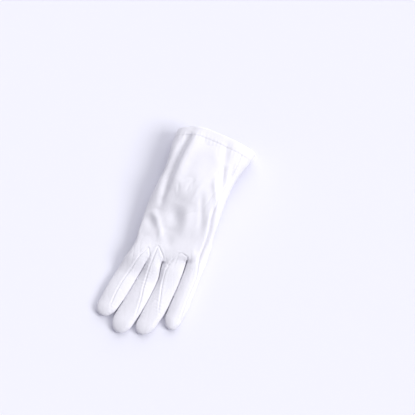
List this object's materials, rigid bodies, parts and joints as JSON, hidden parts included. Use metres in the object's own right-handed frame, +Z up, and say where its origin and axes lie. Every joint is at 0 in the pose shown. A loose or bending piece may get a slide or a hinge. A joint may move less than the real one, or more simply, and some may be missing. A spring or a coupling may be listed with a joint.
{
  "type": "dress glove",
  "caption": "White cotton dress glove for the left hand, lying with its back up, cuff open and thumb folded under the palm",
  "frame": {"origin": "middle of the glove's footprint, on the surface it lies on", "axes": "+Y runs from the fingertips to the cuff's mouth, +X points to the little finger's side, +Z is up through the back of the hand"},
  "size_m": [0.0904, 0.238, 0.035],
  "materials": {
    "jersey": "matt bleached cotton jersey",
    "finger_strip": "matt bleached cotton jersey, cut across the grain",
    "hem": "double layer of the same cotton jersey"
  },
  "bodies": {
    "root": {"back_panel": "jersey", "palm_panel": "jersey", "fourchette_index_middle": "finger_strip", "fourchette_middle_ring": "finger_strip", "fourchette_ring_little": "finger_strip", "thumb": "jersey", "cuff_hem": "hem"}
  },
  "joints": []
}
